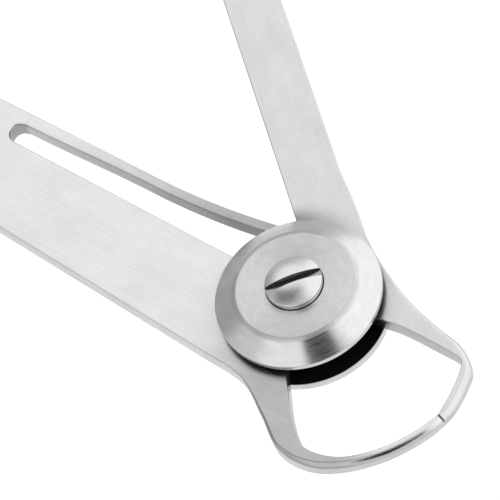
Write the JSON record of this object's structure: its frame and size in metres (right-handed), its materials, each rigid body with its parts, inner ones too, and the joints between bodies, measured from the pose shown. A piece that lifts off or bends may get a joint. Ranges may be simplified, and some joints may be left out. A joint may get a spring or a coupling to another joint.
{
  "type": "spring caliper",
  "caption": "Small steel spring caliper: two curved jaws closed by a leaf spring, a slotted pivot screw in a disc hub, and a pointer arm over an arc-shaped scale.",
  "frame": {"origin": "on the pivot axis, at the back face of the rear disc", "axes": "+Z along the pivot axis towards the screw head, +Y up between the two arms towards the scale, jaws towards -Y"},
  "size_m": [0.0703, 0.0996, 0.0066],
  "materials": {
    "satin_steel": "satin, fine brushed scratches",
    "turned_steel": "turned, fine concentric marks",
    "screw_steel": "polished",
    "spring_steel": "satin",
    "sleeve_steel": "turned",
    "bronze": "plain"
  },
  "bodies": {
    "scale_side": {"scale_arm": "satin_steel", "rear_disc": "turned_steel", "front_disc": "turned_steel", "pivot_sleeve": "sleeve_steel", "pivot_screw": "screw_steel", "thrust_washer": "bronze", "wave_washer": "spring_steel"},
    "pointer_side": {"pointer_arm": "satin_steel"},
    "leaf": {"leaf_spring": "spring_steel"}
  },
  "joints": [
    {"name": "pointer_pivot", "type": "hinge", "parent": "scale_side", "child": "pointer_side", "pos_m": [0, 0, 0.0019], "axis": [0, 0, 1], "range_deg": [0, 30], "stiffness_Nm_per_rad": 0.03, "springref_deg": -17.19},
    {"name": "leaf_flex", "type": "hinge", "parent": "scale_side", "child": "leaf", "pos_m": [-0.00799, 0.03622, 0.0019], "axis": [0, 0, 1], "range_deg": [-7, 0]}
  ],
  "couplings": [
    {"joint": "leaf_flex", "follows": "pointer_pivot", "ratio": -0.21}
  ]
}
